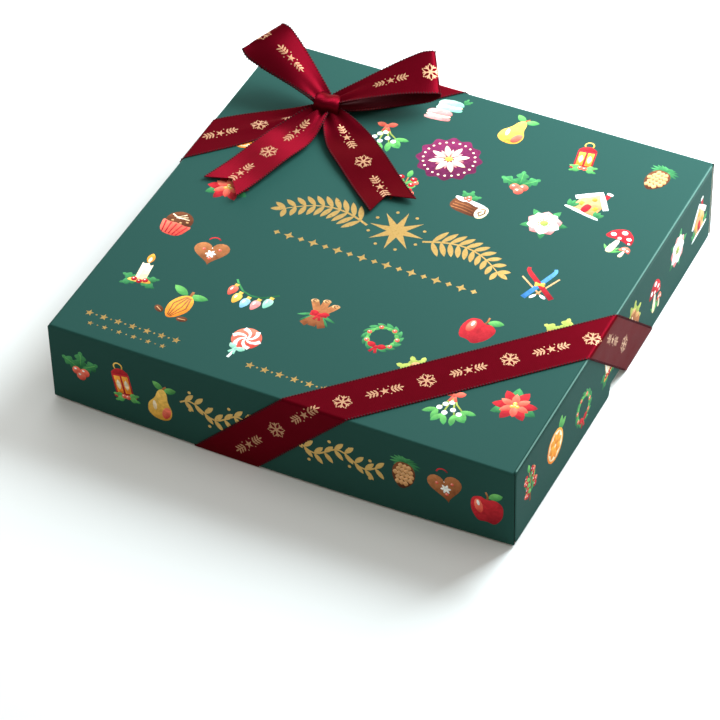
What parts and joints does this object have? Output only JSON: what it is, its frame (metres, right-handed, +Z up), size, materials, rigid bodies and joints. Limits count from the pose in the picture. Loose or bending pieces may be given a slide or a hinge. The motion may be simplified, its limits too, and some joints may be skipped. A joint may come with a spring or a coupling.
{
  "type": "chocolate gift box",
  "caption": "Square two-piece gift carton with a lift-off lid dressed with a satin ribbon and bow, holding pralines in a formed tray under a cushion pad.",
  "frame": {"origin": "middle of the base's underside, where the box stands on the table", "axes": "+Z up, the way the lid lifts; -Y towards the front wall; +X to the right along the front wall"},
  "size_m": [0.163, 0.163, 0.0529],
  "materials": {
    "board_green": "satin",
    "board_white": "matte",
    "film_gold": "satin",
    "pad_paper": "matte",
    "satin_burgundy": "satin",
    "chocolate_dark": "satin",
    "chocolate_milk": "satin",
    "chocolate_white": "satin"
  },
  "bodies": {
    "base": {"base": "board_white"},
    "tray": {"insert_tray": "film_gold"},
    "pad": {"cushion_pad": "pad_paper"},
    "lid": {"lid": "board_green", "ribbon_band_front": "satin_burgundy", "ribbon_band_back": "satin_burgundy", "bow_loop_left": "satin_burgundy", "bow_loop_right": "satin_burgundy", "bow_knot": "satin_burgundy", "bow_tail_left": "satin_burgundy", "bow_tail_right": "satin_burgundy"},
    "praline_01": {"praline_01": "chocolate_dark"},
    "praline_02": {"praline_02": "chocolate_milk"},
    "praline_03": {"praline_03": "chocolate_white"},
    "praline_04": {"praline_04": "chocolate_dark"},
    "praline_05": {"praline_05": "chocolate_milk"},
    "praline_06": {"praline_06": "chocolate_white"},
    "praline_07": {"praline_07": "chocolate_dark"},
    "praline_08": {"praline_08": "chocolate_dark"},
    "praline_09": {"praline_09": "chocolate_white"},
    "praline_10": {"praline_10": "chocolate_dark"},
    "praline_11": {"praline_11": "chocolate_dark"},
    "praline_12": {"praline_12": "chocolate_milk"},
    "praline_13": {"praline_13": "chocolate_dark"},
    "praline_14": {"praline_14": "chocolate_dark"},
    "praline_15": {"praline_15": "chocolate_milk"},
    "praline_16": {"praline_16": "chocolate_white"}
  },
  "joints": [
    {"name": "lid_lift", "type": "slide", "parent": "base", "child": "lid", "axis": [0, 0, 1], "range_m": [0, 0.2]},
    {"name": "pad_lift", "type": "slide", "parent": "base", "child": "pad", "axis": [0, 0, 1], "range_m": [0, 0.14]},
    {"name": "tray_lift", "type": "slide", "parent": "base", "child": "tray", "axis": [0, 0, 1], "range_m": [0, 0.04]},
    {"name": "praline_01_lift", "type": "slide", "parent": "tray", "child": "praline_01", "axis": [0, 0, 1], "range_m": [0, 0.04]},
    {"name": "praline_02_lift", "type": "slide", "parent": "tray", "child": "praline_02", "axis": [0, 0, 1], "range_m": [0, 0.04]},
    {"name": "praline_03_lift", "type": "slide", "parent": "tray", "child": "praline_03", "axis": [0, 0, 1], "range_m": [0, 0.04]},
    {"name": "praline_04_lift", "type": "slide", "parent": "tray", "child": "praline_04", "axis": [0, 0, 1], "range_m": [0, 0.04]},
    {"name": "praline_05_lift", "type": "slide", "parent": "tray", "child": "praline_05", "axis": [0, 0, 1], "range_m": [0, 0.04]},
    {"name": "praline_06_lift", "type": "slide", "parent": "tray", "child": "praline_06", "axis": [0, 0, 1], "range_m": [0, 0.04]},
    {"name": "praline_07_lift", "type": "slide", "parent": "tray", "child": "praline_07", "axis": [0, 0, 1], "range_m": [0, 0.04]},
    {"name": "praline_08_lift", "type": "slide", "parent": "tray", "child": "praline_08", "axis": [0, 0, 1], "range_m": [0, 0.04]},
    {"name": "praline_09_lift", "type": "slide", "parent": "tray", "child": "praline_09", "axis": [0, 0, 1], "range_m": [0, 0.04]},
    {"name": "praline_10_lift", "type": "slide", "parent": "tray", "child": "praline_10", "axis": [0, 0, 1], "range_m": [0, 0.04]},
    {"name": "praline_11_lift", "type": "slide", "parent": "tray", "child": "praline_11", "axis": [0, 0, 1], "range_m": [0, 0.04]},
    {"name": "praline_12_lift", "type": "slide", "parent": "tray", "child": "praline_12", "axis": [0, 0, 1], "range_m": [0, 0.04]},
    {"name": "praline_13_lift", "type": "slide", "parent": "tray", "child": "praline_13", "axis": [0, 0, 1], "range_m": [0, 0.04]},
    {"name": "praline_14_lift", "type": "slide", "parent": "tray", "child": "praline_14", "axis": [0, 0, 1], "range_m": [0, 0.04]},
    {"name": "praline_15_lift", "type": "slide", "parent": "tray", "child": "praline_15", "axis": [0, 0, 1], "range_m": [0, 0.04]},
    {"name": "praline_16_lift", "type": "slide", "parent": "tray", "child": "praline_16", "axis": [0, 0, 1], "range_m": [0, 0.04]}
  ],
  "couplings": [
    {"joint": "pad_lift", "follows": "lid_lift", "ratio": 0.7},
    {"joint": "tray_lift", "follows": "lid_lift", "ratio": 0.2},
    {"joint": "praline_01_lift", "follows": "lid_lift", "ratio": 0.2},
    {"joint": "praline_02_lift", "follows": "lid_lift", "ratio": 0.2},
    {"joint": "praline_03_lift", "follows": "lid_lift", "ratio": 0.2},
    {"joint": "praline_04_lift", "follows": "lid_lift", "ratio": 0.2},
    {"joint": "praline_05_lift", "follows": "lid_lift", "ratio": 0.2},
    {"joint": "praline_06_lift", "follows": "lid_lift", "ratio": 0.2},
    {"joint": "praline_07_lift", "follows": "lid_lift", "ratio": 0.2},
    {"joint": "praline_08_lift", "follows": "lid_lift", "ratio": 0.2},
    {"joint": "praline_09_lift", "follows": "lid_lift", "ratio": 0.2},
    {"joint": "praline_10_lift", "follows": "lid_lift", "ratio": 0.2},
    {"joint": "praline_11_lift", "follows": "lid_lift", "ratio": 0.2},
    {"joint": "praline_12_lift", "follows": "lid_lift", "ratio": 0.2},
    {"joint": "praline_13_lift", "follows": "lid_lift", "ratio": 0.2},
    {"joint": "praline_14_lift", "follows": "lid_lift", "ratio": 0.2},
    {"joint": "praline_15_lift", "follows": "lid_lift", "ratio": 0.2},
    {"joint": "praline_16_lift", "follows": "lid_lift", "ratio": 0.2}
  ]
}
